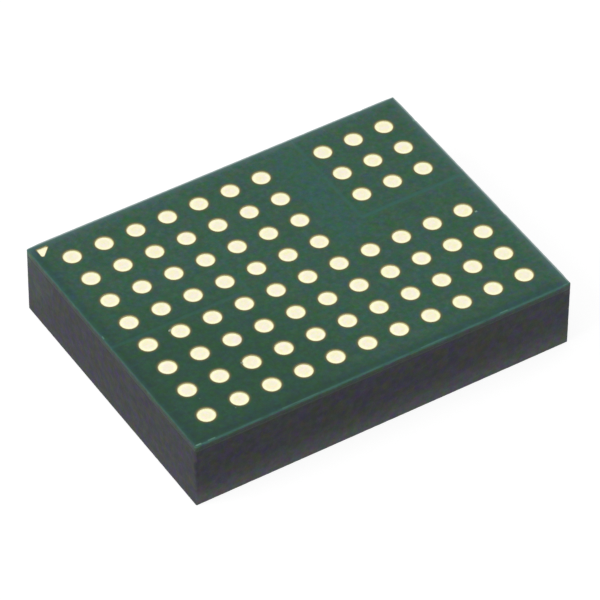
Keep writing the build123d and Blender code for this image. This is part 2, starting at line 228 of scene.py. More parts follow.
class MaskSizes(bpy.types.PropertyGroup):
    land_pitch: a_length("Land pitch", "Step of the land grid", LAND_PITCH)
    columns: a_count("Columns", "Places along the long side", 11, min=1)
    rows: a_count("Rows", "Places along the short side", 8, min=1)
    blank_column: a_count("Blank column", "Column left empty beside the input lands", 7, min=0)
    blank_row: a_count("Blank row", "Row left empty below the input lands", 4, min=0)
    opening_radius: a_length("Opening radius", "Radius of the opening over a land", 0.32)
    lip: a_length("Lip", "Rounding at the top of an opening", 0.012)
    facets: a_count("Facets", "Sides of a round opening", 48, min=16, max=96)
    edge_round: a_length("Edge rounding", "Rounding of the sawn edge", 0.026)
    corner_cut: a_length("Corner cut", "How far each corner is worn back", 0.019)
    gap_dip: a_length("Gap dip", "How far the mask sinks between two copper pours", 0.007)
    waviness: a_length("Waviness", "Height of the soft waves of the mask", 0.0022)
    green: a_colour("Mask green", "Main colour of the mask", 0.018, 0.092, 0.050)
    warm_green: a_colour("Warm patches", "Colour of its yellower patches", 0.019, 0.095, 0.042)
    cool_green: a_colour("Cool patches", "Colour of its bluer patches", 0.018, 0.089, 0.062)
    gap_green: a_colour("Gap lines", "Colour of the mask between copper pours", 0.014, 0.112, 0.092)
    lip_olive: a_colour("Lip", "Colour of the mask round an opening", 0.100, 0.092, 0.032)
    lip_gold: a_colour("Thin lip", "Colour where gold shines through the thin lip", 0.340, 0.320, 0.150)
    # Partly the margin's own darker colour, partly painted shade beside the front and left edges.
    near_tint: a_colour("Near border", "Tint beside the front and left edges", 0.020, 0.700, 0.820)
    corner_tint: a_colour("Near corner", "Tint round the nearest corner", 0.320, 0.720, 0.580)
    # The margin's own teal, lightened by painted light beside the back and right edges.
    far_green: a_colour("Far border", "Colour beside the back and right edges", 0.058, 0.144, 0.127)
    # A painted highlight along the back and right edges.
    far_line: a_colour("Far line", "Pale line along the back and right edges", 0.380, 0.480, 0.470)
    # Partly the pale broken mask of the sawn edge, partly a painted highlight along it.
    rim_pale: a_colour("Sawn rim", "Colour of the mask's sawn edge", 0.062, 0.182, 0.150)


class BodySizes(bpy.types.PropertyGroup):
    step: a_length("Surface step", "Size of the faces on the sawn sides", 0.078)
    edge_round: a_length("Edge rounding", "Rounding of the moulded body's edges", 0.042)
    corner_round: a_length("Corner rounding", "Rounding of the upright edges", 0.070)
    saw_depth: a_length("Saw marks", "Depth of the saw marks on the sides", 0.0014)
    pit_depth: a_length("Filler pits", "Depth of the pits left by filler grains", 0.0030)
    mould_black: a_colour("Mould", "Main colour of the moulded body", 0.010, 0.015, 0.016)
    mould_cool: a_colour("Mould, cool patches", "Colour of its bluer patches", 0.015, 0.011, 0.036)
    mould_warm: a_colour("Mould, warm patches", "Colour of its greener patches", 0.016, 0.018, 0.006)
    # Colour of saw dust and filler grains; it is also the colour of the painted floor light on the lower
    # sides.
    dust: a_colour("Dust", "Colour of saw dust and of the filler grains", 0.110, 0.122, 0.127)
    laminate_green: a_colour("Laminate", "Colour of the laminate near the mask", 0.033, 0.067, 0.050)
    laminate_grey: a_colour("Laminate, far side", "Colour near the mould", 0.021, 0.032, 0.031)


class LandColours(bpy.types.PropertyGroup):
    gold: a_colour("Gold", "Main colour of a land", 0.880, 0.830, 0.650)
    gold_pale: a_colour("Pale gold", "Colour of its paler patches", 0.885, 0.815, 0.705)
    gold_rim: a_colour("Land rim", "Colour near the edge of a land", 0.880, 0.835, 0.480)
    gold_ring: a_colour("Bright ring", "Colour of the ring inside the rim", 0.945, 0.930, 0.650)
    flake: a_colour("Flakes", "Colour of loose flakes and nicks", 0.320, 0.400, 0.320)


class StageSizes(bpy.types.PropertyGroup):
    floor_size: a_length("Floor size", "Side of the floor", 3000.0)
    ambient: FloatProperty(name="Ambient", description="Strength of the light from all round", default=0.5)
    key_power: FloatProperty(name="Key lamp", description="Power of the large lamp over the left side",
                             default=0.62, unit="POWER")
    fill_power: FloatProperty(name="Top lamp", description="Power of the lamp above", default=0.20,
                              unit="POWER")
    azimuth: an_angle("Azimuth", "Camera's turn round the part", -32.3841)
    elevation: an_angle("Elevation", "Camera's height above the horizon", 43.8228)
    roll: an_angle("Roll", "Camera's turn about its own axis", 0.5087)
    camera_place: FloatVectorProperty(name="Camera place", description="Where the camera stands",
                                      default=(-0.070893, -0.111935, 0.128344), subtype="TRANSLATION",
                                      unit="LENGTH")
    lens: FloatProperty(name="Lens", description="Focal length in mm on a 36 mm sensor", default=319.68)


# Node trees, written as plain arithmetic.

def feed(socket, value):
    """Gives a socket a field or a plain value. A colour gets its alpha, and a number fills a vector."""
    if isinstance(value, Field):
        socket.id_data.links.new(value.socket, socket)
    elif socket.type == "RGBA":
        socket.default_value = (*value, 1.0)
    elif socket.type == "VECTOR" and isinstance(value, float):
        socket.default_value = (value, value, value)
    else:
        socket.default_value = value


def put(tree, kind, inputs=None, output=0, **settings):
    """Adds a node, sets it, feeds its inputs and gives the output asked for, or all of them for None."""
    made = tree.nodes.new(kind)
    for name, value in settings.items():
        setattr(made, name, value)
    for key, value in (inputs or {}).items():
        feed(made.inputs[key], value)
    if output is None or not made.outputs:
        return [Field(socket) for socket in made.outputs]
    return Field(made.outputs[output])


def join(*parts):
    """A vector of three numbers or fields."""
    tree = next(part.tree for part in parts if isinstance(part, Field))
    return put(tree, "ShaderNodeCombineXYZ", dict(enumerate(parts)))


def label(name):
    return name.replace("_", " ").capitalize()


def arithmetic(operation, turned=False):
    """A method that reckons with a field and what else it is given."""
    return lambda field, *others: field.maths(operation, *others, turned=turned)


class Field:
    """What a socket gives over a surface: a number, a vector or a colour to reckon with."""
    __add__, __sub__, __mul__ = arithmetic("ADD"), arithmetic("SUBTRACT"), arithmetic("MULTIPLY")
    __truediv__, __pow__, __abs__ = arithmetic("DIVIDE"), arithmetic("POWER"), arithmetic("ABSOLUTE")
    __rsub__, __rtruediv__ = arithmetic("SUBTRACT", turned=True), arithmetic("DIVIDE", turned=True)
    max, min = arithmetic("MAXIMUM"), arithmetic("MINIMUM")

    def __init__(self, socket):
        self.socket = socket
        self.tree = socket.id_data
        self.many = socket.type in ("VECTOR", "RGBA")

    def maths(self, operation, *others, turned=False):
        values = (*others, self) if turned else (self, *others)
        kind = "ShaderNodeVectorMath" if self.many else "ShaderNodeMath"
        single = operation in ("LENGTH", "DISTANCE", "DOT_PRODUCT")
        return put(self.tree, kind, dict(enumerate(values)), int(single), operation=operation)

    def split(self):
        return put(self.tree, "ShaderNodeSeparateXYZ", {0: self}, None)

    def fade(self, start, end):
        """Goes smoothly from 0 at start to 1 at end."""
        return put(self.tree, "ShaderNodeMapRange", {"Value": self, "From Min": start, "From Max": end},
                   interpolation_type="SMOOTHSTEP")

    def mix(self, share, other, blend_type="MIX"):
        """This colour, changed to the other or by it as far as share goes."""
        return put(self.tree, "ShaderNodeMix", {0: share, 6: self, 7: other}, 2, data_type="RGBA",
                   blend_type=blend_type)

    def tint(self, share, other):
        return self.mix(share, other, "MULTIPLY")

    def noise(self, scale, output=0, **inputs):
        return put(self.tree, "ShaderNodeTexNoise", {"Vector": self, "Scale": scale, **inputs}, output)

    def bump(self, depth, **below):
        """A normal from this height in mm, on top of the relief below."""
        return put(self.tree, "ShaderNodeBump",
                   {"Strength": 1.0, "Distance": depth * MM, "Height": self, **below}, "Normal")

    def effect(self, name, **inputs):
        """What one of the shared effects makes of this place."""
        made = self.tree.nodes.new("ShaderNodeGroup")
        made.node_tree = bpy.data.node_groups[name]
        for key, value in {"place": self, **inputs}.items():
            feed(made.inputs[label(key)], value)
        return Field(made.outputs[0])


def new_tree(name, kind, **inputs):
    """A new tree and its named inputs, each given by its default, or by its kind where it has none."""
    tree = bpy.data.node_groups.new(name, kind)
    kinds = {float: "Float", Vector: "Vector", Color: "Color"}
    for key, value in inputs.items():
        socket = tree.interface.new_socket(label(key), in_out="INPUT",
                                           socket_type="NodeSocket" + kinds.get(type(value), str(value)))
        if not isinstance(value, str):
            socket.default_value = (*value, 1.0) if isinstance(value, Color) else value
    given = tree.nodes.new("NodeGroupInput").outputs
    return tree, [Field(given[label(key)]) for key in inputs]


def end_tree(tree, name, kind, result):
    tree.interface.new_socket(name, in_out="OUTPUT", socket_type="NodeSocket" + kind)
    feed(tree.nodes.new("NodeGroupOutput").inputs[0], result)
    return tree


# Effects that several finishes share. Places are in mm.

def mottling(place, size, main, warm, cool):
    first = place.noise(1.0 / size, Detail=3.0)
    second = (place + (31.0, -17.0, 5.0)).noise(1.0 / size, Detail=3.0)
    return main.mix(first.fade(*PATCH_EDGE), warm).mix(second.fade(*PATCH_EDGE), cool)


def speckle(place, size, colour, amount):
    spread = place.noise(1.0 / size, "Color", Detail=3.0, Roughness=0.8) * 15.0 - 7.5
    tied = join(*(spread.maths("DOT_PRODUCT", shares) for shares in CHANNEL_SHARES))
    return colour * (tied * amount + 1.0).max(0.05)


def grain(place, size):
    cells = put(place.tree, "ShaderNodeTexVoronoi", {"Vector": place, "Scale": 1.0 / size}, "Distance")
    return place.noise(1.0 / size, Detail=4.0, Roughness=0.65) * 0.65 + cells * 0.35


def saw_marks(place, spacing):
    return (place * join(0.55, 0.55, 1.0 / spacing)).noise(1.0, Detail=3.0, Distortion=0.3)


def border(place, half_size, start, end):
    x, y, _ = (half_size - abs(place)).split()
    return x.min(y).fade(start, end)


def strip(place, middle, half_size, softness):
    x, y, _ = (abs(place - middle) - half_size).split()
    return x.max(y).fade(softness * 0.5, softness * -0.5)


def spot(place, centre, radius):
    return place.maths("DISTANCE", centre).fade(radius, radius * 0.4)


def make_shared_effects():
    """Makes each effect a shader node group, with these named inputs and their defaults."""
    origin, unit, grey = Vector((0.0, 0.0, 0.0)), Vector((1.0, 1.0, 1.0)), Color((0.5, 0.5, 0.5))
    for build, inputs in (
            (mottling, dict(place=origin, size=0.2, main=grey, warm=grey, cool=grey)),
            (speckle, dict(place=origin, size=0.3, colour=grey, amount=0.1 * unit)),
            (grain, dict(place=origin, size=0.05)),
            (saw_marks, dict(place=origin, spacing=0.06)),
            (border, dict(place=origin, half_size=unit, start=0.3, end=0.1)),
            (strip, dict(place=origin, middle=origin, half_size=unit, softness=0.06)),
            (spot, dict(place=origin, centre=origin, radius=0.1))):
        tree, given = new_tree(label(build.__name__), "ShaderNodeTree", **inputs)
        made = build(*given)
        name, kind = ("Colour", "Color") if made.many else ("Value", "Float")
        end_tree(tree, name, kind, made)


# Finishes.

def start_finish(name):
    """A new material, and the place on the piece in mm."""
    material = bpy.data.materials.new(name)
    material.use_nodes = True
    return material, put(material.node_tree, "ShaderNodeTexCoord", output="Object") * 1000.0


def end_finish(material, **sockets):
    """Feeds the shader's sockets; underscores stand for spaces."""
    shader = material.node_tree.nodes["Principled BSDF"]
    for name, value in sockets.items():
        feed(shader.inputs[name.replace("_", " ")], value)
    return material


def attribute(tree, name):
    return put(tree, "ShaderNodeAttribute", output="Fac", attribute_name=name)


def pin_mark_lip(place, flat):
    """1 in the pin-one mark, fading out past its rounded outline."""
    x, y, _ = place.split()
    (left, back), (right, _), (_, front) = PIN_MARK
    slope = (back - front) / (right - left)
    inner_radius = (right - left) * (1.0 - math.sqrt(0.5))
    middle = (left + inner_radius, back - inner_radius, SQUEEZE * mask_high.z / MM)
    reach = (inner_radius - PIN_MARK_ROUND) / math.sin(math.pi / 8) + PIN_MARK_ROUND
    beyond = (x * slope + (front - slope * left) - y) / math.hypot(1.0, slope)
    outside = (left - x).max(y - back).max(beyond).max(flat.maths("DISTANCE", middle) - reach)
    return outside.fade(0.055, -0.01)


def finish_mask(sizes):
    material, place = start_finish("solder_mask")
    flat = place * (1.0, 1.0, SQUEEZE)
    near, far = place + (-BEYOND, -BEYOND, 0.0), place + (BEYOND, BEYOND, 0.0)

    def edge(side, start, end):
        return side.effect("Border", half_size=(half_length + BEYOND, half_width + BEYOND, THROUGH),
                           start=start, end=end)

    def patch(middle, reach, softness):
        return place.effect("Strip", middle=(*middle, 0.0), half_size=(*reach, THROUGH), softness=softness)

    def stain(centre, radius):
        return flat.effect("Spot", centre=(*centre, MASK_LEVEL), radius=radius)

    paint = flat.effect("Mottling", size=0.32, main=sizes.green, warm=sizes.warm_green,
                        cool=sizes.cool_green)
    fine = flat.effect("Grain", size=0.16)
    paint = paint.tint(fine.fade(0.35, 0.60), (0.80, 0.82, 0.80))
    paint = paint.mix(patch((2.50, 2.95), (0.55, 2.75), 0.5) * 0.45, (0.010, 0.092, 0.078))
    paint = paint.tint(stain((5.05, 0.35), 0.75) * 0.6, (0.70, 0.86, 0.84))
    # Darker round the front left corner.
    paint = paint.tint(stain((-6.5, -5.0), 8.0), sizes.corner_tint)
    # Beside the front and left edges the mask is darker: partly its own margin with no copper under it,
    # partly painted shade.
    paint = paint.tint(edge(near, 0.85, 0.35), (0.98, 0.89, 0.96))
    paint = paint.tint(edge(near, 0.46, 0.14) * 0.80, sizes.near_tint)
    # Beside the back and right edges the mask is paler: its own teal margin, lightened by painted light.
    paint = paint.mix(edge(far, 0.75, 0.20) * 0.30, (0.050, 0.100, 0.110))
    paint = flat.effect("Speckle", size=0.25, colour=paint, amount=(0.38, 0.085, 0.235))
    paint = paint.mix(edge(far, 0.34, 0.05) * 0.62, sizes.far_green)
    # Painted highlight: a pale line along the back and right edges.
    paint = paint.mix(edge(far, 0.10, 0.035) * 0.85, sizes.far_line)
    for middle, reach, share in COPPER_GAPS:
        paint = paint.mix(patch(middle, reach, 0.10) * share, sizes.gap_green)
    for centre, radius, share in SMEARS:
        paint = paint.mix(stain(centre, radius) * share, (0.110, 0.210, 0.180))
    # Along the front edge these are painted highlights on the rim; elsewhere they are pale marks.
    for middle, reach, share in PALE_MARKS_AND_HIGHLIGHTS:
        paint = paint.mix(patch(middle, reach, 0.045) * share, (0.230, 0.450, 0.350))
    lip = attribute(place.tree, "lip").max(pin_mark_lip(place, flat))
    paint = paint.mix(lip.fade(0.0, 0.55), sizes.lip_olive).mix(lip.fade(0.50, 1.0), sizes.lip_gold)
    rim = attribute(place.tree, "rim")
    # The sawn rim: pale broken mask with a painted highlight on it, stronger along the front edge.
    front_line = 0.10 - half_width
    front_highlight = place.split()[1].fade(front_line, front_line - 0.08) * 0.55 + 0.35
    broken = place.effect("Grain", size=0.60).fade(0.30, 0.60) * 0.45 + 0.55
    paint = paint.mix(rim * broken * front_highlight, sizes.rim_pale)
    return end_finish(material, Base_Color=paint, Roughness=(fine * 0.22 + 0.26).max(rim * 0.6), IOR=1.39,
                      Normal=fine.bump(0.0012))


def finish_gold(colours):
    material, place = start_finish("gold_plating")
    flat = place * (1.0, 1.0, SQUEEZE)
    paint = flat.effect("Mottling", size=0.16, main=colours.gold, warm=colours.gold_rim,
                        cool=colours.gold_pale).mix(0.45, colours.gold)
    at_corner = flat.effect("Spot", centre=(*CORNER_LAND, LAND_LEVEL), radius=1.25)
    shift = join(*(at_corner * -along for along in CORNER_LAND_SHIFT))
    steps = (flat + shift) * (1 / LAND_PITCH, 1 / LAND_PITCH, 0.0) + (0.5, 0.0, 0.0)
    cell = steps.maths("FRACTION") - (0.5, 0.5, 0.0)
    radius = cell.maths("LENGTH") * LAND_PITCH
    paint = paint.mix(radius.fade(0.15, 0.25) * 0.85, colours.gold_ring)
    paint = paint.mix(radius.fade(0.275, 0.325) * radius.fade(0.36, 0.33), colours.gold_rim)
    smudge = flat.effect("Spot", centre=(-3.66, -2.00, LAND_LEVEL), radius=0.24)
    paint = paint.mix(smudge * 0.7, (0.86, 0.78, 0.74))
    paint = flat.effect("Speckle", size=0.14, colour=paint, amount=(0.022, 0.014, 0.058))
    grains = flat.effect("Grain", size=0.035)
    return end_finish(material, Base_Color=paint, Metallic=1.0, Roughness=grains * 0.20 + 0.36,
                      Normal=grains.bump(0.0010))


def end_sawn_finish(material, place, paint, grains, relief):
    """Adds what the sawn sides share: painted glow patches high by the corners, coloured speckle, gloss and
    fine grains.
    """
    # Painted glow under the rim, high up by the corners.
    for centre, radius, share in GLOW_PATCHES:
        glow_patch = place.effect("Spot", centre=centre, radius=radius)
        paint = paint.mix(glow_patch * share, (0.085, 0.140, 0.118))
    paint = place.effect("Speckle", size=0.30, colour=paint, amount=(0.15, 0.15, 0.20))
    return end_finish(material, Base_Color=paint, IOR=1.43, Roughness=grains * 0.20 + 0.62,
                      Normal=grains.bump(0.0040, Normal=relief))


def facing_ends(tree):
    """1 on the front and back sides, 0 on the left and right ones."""
    return abs(put(tree, "ShaderNodeTexCoord", output="Normal").split()[1])


def finish_mould(sizes):
    material, place = start_finish("mould_compound")
    paint = place.effect("Mottling", size=0.34, main=sizes.mould_black, warm=sizes.mould_warm,
                         cool=sizes.mould_cool)
    grains = place.effect("Grain", size=0.060)
    patches = place.effect("Grain", size=0.30)
    for mask, start, end, share in ((place.effect("Saw marks", spacing=0.30), 0.40, 0.66, 0.03),
                                    (patches, 0.36, 0.62, 0.09), (grains, 0.44, 0.62, 0.08)):
        paint = paint.mix(mask.fade(start, end) * share, sizes.dust)
    x, y, _ = ((half_length, half_width, 0.0) - abs(place)).split()
    height = place.split()[2]
    upper = height.fade(1.3, 1.9) * height.fade(2.6, 2.2)
    # Paler lines along the upright edges, strongest in their upper part: partly scuffing, partly a painted
    # highlight on the rounded edges.
    scuff_and_edge_highlight = (abs(x) + abs(y)).fade(0.065, 0.010) * (patches * (upper * 0.7 + 0.35))
    paint = paint.mix(scuff_and_edge_highlight, (0.100, 0.130, 0.125))
    # Painted floor light: the sides grow paler towards the bottom, where the floor lights them, most on the
    # front and back sides.
    paint = paint.mix(height.fade(2.3, -0.5) ** 3.0 * (facing_ends(place.tree) + 0.12), sizes.dust)
    return end_sawn_finish(material, place, paint, grains, patches.bump(0.0060))


def finish_laminate(sizes):
    material, place = start_finish("glass_laminate")
    height = place.split()[2]
    top = laminate_high.z / MM
    paint = put(place.tree, "ShaderNodeMix", {0: height.fade(top, laminate_low.z / MM),
                                              6: sizes.laminate_green, 7: sizes.laminate_grey}, 2,
                data_type="RGBA")
    yarns = put(place.tree, "ShaderNodeTexVoronoi",
                {"Vector": place * (2.2, 2.2, 14.0), "Scale": 1.0, "Randomness": 0.6}, "Distance")
    yarn = yarns.fade(0.55, 0.20)
    paint = paint.mix(yarn * 0.06, (0.115, 0.135, 0.125))
    grains = place.effect("Grain", size=0.08)
    paint = paint.mix(grains.fade(0.44, 0.62) * 0.12, sizes.dust)
    # Painted highlight: the laminate's top, just under the mask, is paler, most on the front and back sides,
    # carrying the rim's highlight down.
    rim_highlight_below = height.fade(top - 0.050, top - 0.010) * (facing_ends(place.tree) * 0.60 + 0.28)
    paint = paint.mix(rim_highlight_below, (0.072, 0.170, 0.145))
    return end_sawn_finish(material, place, paint, grains, yarn.bump(0.0020))


def finish_plain(name, main, other, metallic, roughness, grain_size, depth):
    """A finish with two close colours, grain in its gloss and a fine relief."""
    material, place = start_finish(name)
    paint = place.effect("Mottling", size=6.0 * grain_size, main=main, warm=other,
                         cool=[0.9 * channel for channel in main])
    grains = place.effect("Grain", size=grain_size)
    return end_finish(material, Base_Color=paint, Metallic=metallic,
                      Roughness=grains * 0.24 + (roughness - 0.12), Normal=grains.bump(depth))


# Meshes and objects.

def noise_at(*place):
    return noise.noise(Vector(place))


def ease(share):
    """Makes a share of the way rise smoothly from 0 to 1, and stay there past its ends."""
    share = min(1.0, max(0.0, share))
    return share * share * (3.0 - 2.0 * share)


def chipped(wear, place, chips):
    """The wear at a place, or the depth of a chip there if that is more."""
    for *chip_place, reach, depth in chips:
        away = math.dist(place, chip_place) / reach
        if away < 1.0:
            wear = max(wear, depth * MM * (1.0 - away * away))
    return wear


def key_of(place):
    """Whole numbers that are the same for places that are one."""
    return tuple(round(value / SAME) for value in place)


def bridge(bm, inner, outer):
    """Faces between two rings of points."""
    for i in range(len(inner)):
        j = (i + 1) % len(inner)
        bm.faces.new((inner[i], inner[j], outer[j], outer[i]))


def end_mesh(bm, name):
    mesh = bpy.data.meshes.new(name)
    bm.to_mesh(mesh)
    bm.free()
    return mesh


def add_object(name, data):
    made = bpy.data.objects.new(name, data)
    bpy.context.scene.collection.objects.link(made)
    return made


def apply_modifiers(piece):
    """Keeps what the piece's modifiers make of it as its plain mesh."""
    graph = bpy.context.evaluated_depsgraph_get()
    mesh = bpy.data.meshes.new_from_object(piece.evaluated_get(graph), preserve_all_data_layers=True,
                                           depsgraph=graph)
    if not mesh.polygons:
        raise RuntimeError(piece.name + " came out empty")
    piece.modifiers.clear()
    piece.data = mesh
    mesh.name = piece.name


def bake_tree(name, mesh, tree, **values):
    """Runs a Geometry Nodes tree on a mesh and keeps the result as a plain mesh."""
    piece = add_object(name, mesh)
    modifier = piece.modifiers.new(tree.name, "NODES")
    modifier.node_group = tree
    for key, value in values.items():
        modifier[tree.interface.items_tree[label(key)].identifier] = value
    apply_modifiers(piece)
    return piece


def smooth(mesh, degrees=50.0):
    """Shades a mesh smooth but for its sharper edges."""
    mesh.polygons.foreach_set("use_smooth", [True] * len(mesh.polygons))
    mesh.set_sharp_from_angle(angle=math.radians(degrees))
    mesh.update()


# The mask.

def ring_heights(sizes):
    """Rings of one opening's surround, from the outer line below to the outer line on top:
    share of the way from the opening to the cell's edge, extra radius, height and lip value."""
    top, lip = mask_high.z, sizes.lip
    return ((1.0, 0.0, land_face, 0.0),
            (0.0, 0.0, land_face, 1.0),
            (0.0, 0.0, top - lip, 1.0),
            (0.0, 0.35 * lip, top - 0.35 * lip, 1.0),
            (0.0, 1.1 * lip, top, 0.95),
            (0.0, 0.032 * MM, top, 0.55),
            (0.0, 0.060 * MM, top, 0.30),
            (0.0, 0.105 * MM, top, 0.08),
            *((share, 0.0, top, 0.0) for share in (0.36, 0.54, 0.72, 0.87, 1.0)))


def cell_mesh(sizes):
    """One cell with its opening and one blank cell, the blank one marked by an attribute."""
    bm = bmesh.new()
    lip_layer, blank_layer = (bm.verts.layers.float.new(name) for name in ("lip", "blank"))
    half = sizes.land_pitch / 2
    angles = [math.tau * i / sizes.facets for i in range(sizes.facets)]

    def ring(share, extra, height, lip, blank=0.0):
        verts = []
        for x, y in ((math.cos(angle), math.sin(angle)) for angle in angles):
            reach = half / max(abs(x), abs(y))
            radius = sizes.opening_radius + extra
            radius += share * (reach - radius)
            if blank and share < 1.0:
                radius = share * reach
            verts.append(bm.verts.new((x * radius, y * radius, height)))
            verts[-1][lip_layer] = lip
            verts[-1][blank_layer] = blank
        return verts

    rings = [ring(*values) for values in ring_heights(sizes)]
    for inner, outer in zip(rings, rings[1:]):
        bridge(bm, outer, inner)
    for height, shares in ((land_face, (1.0,)), (mask_high.z, (0.25, 0.45, 0.65, 0.84, 1.0))):
        rings = [ring(share, 0.0, height, 0.0, 1.0) for share in shares]
        for inner, outer in zip(rings, rings[1:]):
            bridge(bm, inner, outer)
        middle = bm.verts.new((0.0, 0.0, height))
        middle[blank_layer] = 1.0
        for i, vert in enumerate(rings[0]):
            bm.faces.new((middle, vert, rings[0][(i + 1) % sizes.facets]))
    return end_mesh(bm, "mask_cells")


def land_grid_tree():
    """Lays the cells out on the land grid: openings everywhere but in the blank column and row."""
    tree, (cells, pitch, columns, rows, blank_column, blank_row, material) = new_tree(
        "Land grid", "GeometryNodeTree", cells="Geometry", pitch="Float", columns="Int", rows="Int",
        blank_column="Int", blank_row="Int", material="Material")
    last_column, last_row = columns - 1.0, rows - 1.0
    grid = put(tree, "GeometryNodeMeshGrid", {"Size X": last_column * pitch, "Size Y": last_row * pitch,
                                              "Vertices X": columns, "Vertices Y": rows})
    x, y, _ = put(tree, "GeometryNodeInputPosition").split()
    column = (last_column * 0.5 + x / pitch).maths("ROUND")
    row = (last_row * 0.5 + y / pitch).maths("ROUND")
    in_column, in_row = column.maths("COMPARE", blank_column, 0.1), row.maths("COMPARE", blank_row, 0.1)
    past_column = (column + 0.5).maths("GREATER_THAN", blank_column)
    past_row = (row + 0.5).maths("GREATER_THAN", blank_row)
    blank = (in_column * past_row).max(in_row * past_column)
    marked = put(tree, "GeometryNodeInputNamedAttribute", {"Name": "blank"}, data_type="FLOAT")
    blank_cell, open_cell = put(tree, "GeometryNodeSeparateGeometry",
                                {"Geometry": cells, "Selection": marked}, None, domain="POINT")
    joined = tree.nodes.new("GeometryNodeJoinGeometry")
    for chosen, cell in ((blank, blank_cell), (1.0 - blank, open_cell)):
        feed(joined.inputs[0], put(tree, "GeometryNodeInstanceOnPoints",
                                   {"Points": grid, "Selection": chosen, "Instance": cell}))
    realized = put(tree, "GeometryNodeRealizeInstances", {"Geometry": Field(joined.outputs[0])})
    welded = put(tree, "GeometryNodeMergeByDistance", {"Geometry": realized, "Distance": 0.001 * MM})
    coated = put(tree, "GeometryNodeSetMaterial", {"Geometry": welded, "Material": material})
    return end_tree(tree, "Mask", "Geometry", coated)


def strip_depth(x, y):
    """How deep in a copper gap a place is, from 0 to 1."""
    beyond = min(max(abs(x - middle[0]) - reach[0], abs(y - middle[1]) - reach[1])
                 for middle, reach, _ in COPPER_GAPS)
    return ease((GAP_REACH - beyond) / GAP_SLOPE)


def rim_wear(x, y):
    """Wear of the sawn edge at a place on it: inset in metres."""
    fine = noise_at(x * 5.1, y * 5.1, 3.7)
    coarse = noise_at(x * 1.3, y * 1.3, 9.1)
    bites = max(0.0, fine + 0.35 * coarse - 0.34)
    return chipped(RIM_WEAR * MM * (1.0 + fine) + RIM_BITES * MM * bites, (x, y), MASK_CHIPS)


def stretch_to_outline(vert, inset, cell_edges, pitch):
    """Draws the outermost cells out to the sawn outline and moves the corner land's opening."""
    shift = ease((MOVED_RADIUS - math.dist(vert.co.xy / MM, CORNER_LAND)) / MOVED_FADE)
    for axis, edge in enumerate(cell_edges):
        start = edge - pitch / 2 + STILL_RADIUS * MM
        size = abs(vert.co[axis])
        if size > start:
            grown = start + (size - start) * (package_high[axis] - inset - start) / (edge - start)
            vert.co[axis] = math.copysign(grown, vert.co[axis])
        vert.co[axis] += CORNER_LAND_SHIFT[axis] * MM * shift


def finish_mask_shape(mesh, sizes):
    """Draws the sheet out to the sawn outline, closes its sides and gives its top its relief."""
    bm = bmesh.new()
    bm.from_mesh(mesh)
    layers = bm.verts.layers.float
    layers.remove(layers["blank"])
    rim_layer = layers.new("rim")
    cell_edges = [count * sizes.land_pitch / 2 for count in (sizes.columns, sizes.rows)]
    middle_height = (mask_high.z + land_face) / 2
    inset_bottom = FOOT_INSET * MM

    edges = [edge for edge in bm.edges if edge.is_boundary]
    keys = {vert: key_of(vert.co.xy) for edge in edges for vert in edge.verts}
    top_edges = [edge for edge in edges if edge.verts[0].co.z > middle_height]
    foot = {key: vert for vert, key in keys.items() if vert.co.z < middle_height}
    sides = {vert: [abs(abs(vert.co[axis]) - cell_edges[axis]) < SAME for axis in (0, 1)] for vert in keys}
    for vert in bm.verts:
        stretch_to_outline(vert, sizes.edge_round if vert.co.z > middle_height else inset_bottom,
                           cell_edges, sizes.land_pitch)
    columns = {}

    def column(vert):
        """The points below one point of the top's outline, down to the outline below."""
        if vert in columns:
            return columns[vert]

        def placed(source, inset, height):
            at = [math.copysign(package_high[axis] - inset, source.co[axis]) if sides[vert][axis]
                  else source.co[axis] for axis in (0, 1)]
            return [*at, height]

        wear = rim_wear(*(value / MM for value in placed(vert, 0.0, 0.0)[:2]))
        cut = sizes.corner_cut if all(sides[vert]) else 0.0
        drop = sizes.edge_round * (1.0 - math.sqrt(0.5))
        made = [vert]
        for inset, height in ((drop + 0.8 * wear, mask_high.z - drop - 0.35 * wear),
                              (0.55 * wear, mask_high.z - sizes.edge_round - 0.1 * wear),
                              (0.3 * wear, mask_low.z)):
            made.append(bm.verts.new(placed(vert, inset + cut, height)))
            made[-1][rim_layer] = 1.0
        below = foot[keys[vert]]
        made += [bm.verts.new(placed(below, inset_bottom, mask_low.z)), below]
        vert.co = placed(vert, sizes.edge_round + wear + cut, mask_high.z - 0.12 * wear)
        vert[rim_layer] = 0.45
        columns[vert] = made
        return made

    for edge in top_edges:
        first, second = column(edge.verts[0]), column(edge.verts[1])
        for i in range(len(first) - 1):
            bm.faces.new((first[i], second[i], second[i + 1], first[i + 1]))
    bmesh.ops.recalc_face_normals(bm, faces=bm.faces)

    for vert in bm.verts:
        if vert.co.z > mask_high.z - 0.2 * sizes.lip and vert not in columns:
            x, y, _ = (value / MM for value in vert.co)
            wave = noise_at(x * 1.1, y * 1.1, 0.0) + 0.6 * noise_at(x * 3.3, y * 3.3, 4.0)
            sink = sizes.waviness * (1.0 + 0.6 * wave) + sizes.gap_dip * strip_depth(x, y)
            vert.co.z -= sink * ease(min(half_length - abs(x), half_width - abs(y)) / RELIEF_BORDER)
    bm.to_mesh(mesh)
    bm.free()


